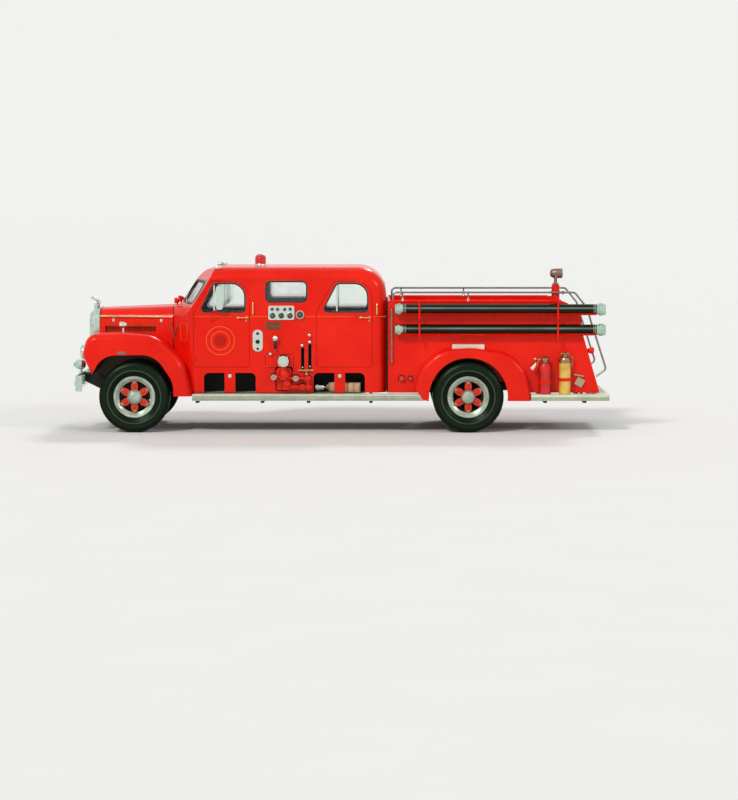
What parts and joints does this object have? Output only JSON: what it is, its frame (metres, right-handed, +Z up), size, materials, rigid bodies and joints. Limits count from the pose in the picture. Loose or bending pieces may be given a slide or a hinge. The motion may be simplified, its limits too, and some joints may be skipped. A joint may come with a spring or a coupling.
{
  "type": "fire engine",
  "caption": "Long-bonnet crew-cab pumper fire engine with side pump panel, open hose bed, suction hoses, ladders and a swivelling searchlight.",
  "frame": {"origin": "on the ground under the middle of the vehicle", "axes": "-X is the front, -Y is the vehicle's left (pump operator's) side, +Z is up"},
  "size_m": [8.21, 2.4029, 2.69],
  "materials": {
    "red_paint": "gloss",
    "chrome": "polished",
    "glass": "clear",
    "seat": "satin",
    "dash": "satin",
    "floor": "matt",
    "chassis": "satin",
    "engine": "matt",
    "wheel": "satin",
    "tyre": "matt",
    "tread": "satin",
    "hose_black": "satin",
    "hose_soft": "matt",
    "wood": "varnished",
    "bottle": "gloss",
    "red_lens": "clear"
  },
  "bodies": {
    "chassis": {"cab_body": "red_paint", "cab_roof": "red_paint", "cab_glass": "glass", "cab_floor": "floor", "cab_boxes": "floor", "cab_seats": "seat", "dashboard": "dash", "front_fenders": "red_paint", "radiator_shell": "chrome", "radiator_grille": "chrome", "bonnet_sides": "red_paint", "front_bumper": "chrome", "lamps": "chrome", "beacon": "red_lens", "frame_rails": "chassis", "frame_members": "chassis", "leaf_springs": "chassis", "front_axle": "chassis", "rear_axle": "chassis", "powertrain": "engine", "fire_pump": "red_paint", "panel_fittings": "chrome", "soft_hose": "hose_soft", "hose_body": "red_paint", "rear_fenders": "red_paint", "tread_boards": "tread", "suction_hoses": "hose_black", "suction_couplings": "chrome", "side_racks": "red_paint", "ladders": "wood", "handrails": "chrome", "mast_post": "red_paint", "extinguishers": "bottle", "side_fittings": "red_paint"},
    "knuckle_left": {"knuckle_left": "chassis"},
    "wheel_front_left": {"front_wheel_left": "wheel", "front_tyre_left": "tyre"},
    "wheel_rear_left": {"rear_wheel_left": "wheel", "rear_tyres_left": "tyre"},
    "door_front_left": {"door_front_left": "red_paint", "door_glass_front_left": "glass", "mirror_left": "chrome"},
    "door_rear_left": {"door_rear_left": "red_paint", "door_glass_rear_left": "glass"},
    "bonnet_left": {"bonnet_left": "red_paint"},
    "knuckle_right": {"knuckle_right": "chassis"},
    "wheel_front_right": {"front_wheel_right": "wheel", "front_tyre_right": "tyre"},
    "wheel_rear_right": {"rear_wheel_right": "wheel", "rear_tyres_right": "tyre"},
    "door_front_right": {"door_front_right": "red_paint", "door_glass_front_right": "glass", "mirror_right": "chrome"},
    "door_rear_right": {"door_rear_right": "red_paint", "door_glass_rear_right": "glass"},
    "bonnet_right": {"bonnet_right": "red_paint"},
    "tie_rod": {"tie_rod": "chassis"},
    "lamp_yoke": {"mast_swivel": "chrome"},
    "lamp_head": {"searchlight": "chrome"}
  },
  "joints": [
    {"name": "steer_left", "type": "hinge", "parent": "chassis", "child": "knuckle_left", "pos_m": [-3.12, -0.88, 0.541], "axis": [0, 0, 1], "range_deg": [-28, 28]},
    {"name": "steer_right", "type": "hinge", "parent": "chassis", "child": "knuckle_right", "pos_m": [-3.12, 0.88, 0.541], "axis": [0, 0, 1], "range_deg": [-28, 28]},
    {"name": "tie_rod_slide", "type": "slide", "parent": "chassis", "child": "tie_rod", "axis": [0, 1, 0], "range_m": [-0.0895, 0.0895]},
    {"name": "spin_front_left", "type": "hinge", "parent": "knuckle_left", "child": "wheel_front_left", "pos_m": [-3.12, -1, 0.541], "axis": [0, 1, 0], "continuous": true},
    {"name": "spin_rear_left", "type": "hinge", "parent": "chassis", "child": "wheel_rear_left", "pos_m": [1.96, -0.8725, 0.541], "axis": [0, 1, 0], "continuous": true},
    {"name": "door_front_left_swing", "type": "hinge", "parent": "chassis", "child": "door_front_left", "pos_m": [-2.22, -0.995, 1.6], "axis": [0, 0, -1], "range_deg": [0, 70]},
    {"name": "door_rear_left_swing", "type": "hinge", "parent": "chassis", "child": "door_rear_left", "pos_m": [-0.35, -0.995, 1.6], "axis": [0, 0, -1], "range_deg": [0, 70]},
    {"name": "bonnet_left_lift", "type": "hinge", "parent": "chassis", "child": "bonnet_left", "pos_m": [-3.71, 0, 1.858], "axis": [-0.9991, 0, -0.0432], "range_deg": [0, 75]},
    {"name": "spin_front_right", "type": "hinge", "parent": "knuckle_right", "child": "wheel_front_right", "pos_m": [-3.12, 1, 0.541], "axis": [0, 1, 0], "continuous": true},
    {"name": "spin_rear_right", "type": "hinge", "parent": "chassis", "child": "wheel_rear_right", "pos_m": [1.96, 0.8725, 0.541], "axis": [0, 1, 0], "continuous": true},
    {"name": "door_front_right_swing", "type": "hinge", "parent": "chassis", "child": "door_front_right", "pos_m": [-2.22, 0.995, 1.6], "axis": [0, 0, 1], "range_deg": [0, 70]},
    {"name": "door_rear_right_swing", "type": "hinge", "parent": "chassis", "child": "door_rear_right", "pos_m": [-0.35, 0.995, 1.6], "axis": [0, 0, 1], "range_deg": [0, 70]},
    {"name": "bonnet_right_lift", "type": "hinge", "parent": "chassis", "child": "bonnet_right", "pos_m": [-3.71, 0, 1.858], "axis": [0.9991, 0, 0.0432], "range_deg": [0, 75]},
    {"name": "mast_pan", "type": "hinge", "parent": "chassis", "child": "lamp_yoke", "pos_m": [3.292, -0.905, 2.25], "axis": [0, 0, 1], "range_deg": [-170, 170]},
    {"name": "lamp_tilt", "type": "hinge", "parent": "lamp_yoke", "child": "lamp_head", "pos_m": [3.292, -0.905, 2.418], "axis": [0, -1, 0], "range_deg": [-30, 60]}
  ],
  "couplings": [
    {"joint": "steer_right", "follows": "steer_left", "ratio": 1},
    {"joint": "tie_rod_slide", "follows": "steer_left", "m_per_rad": 0.18253}
  ]
}
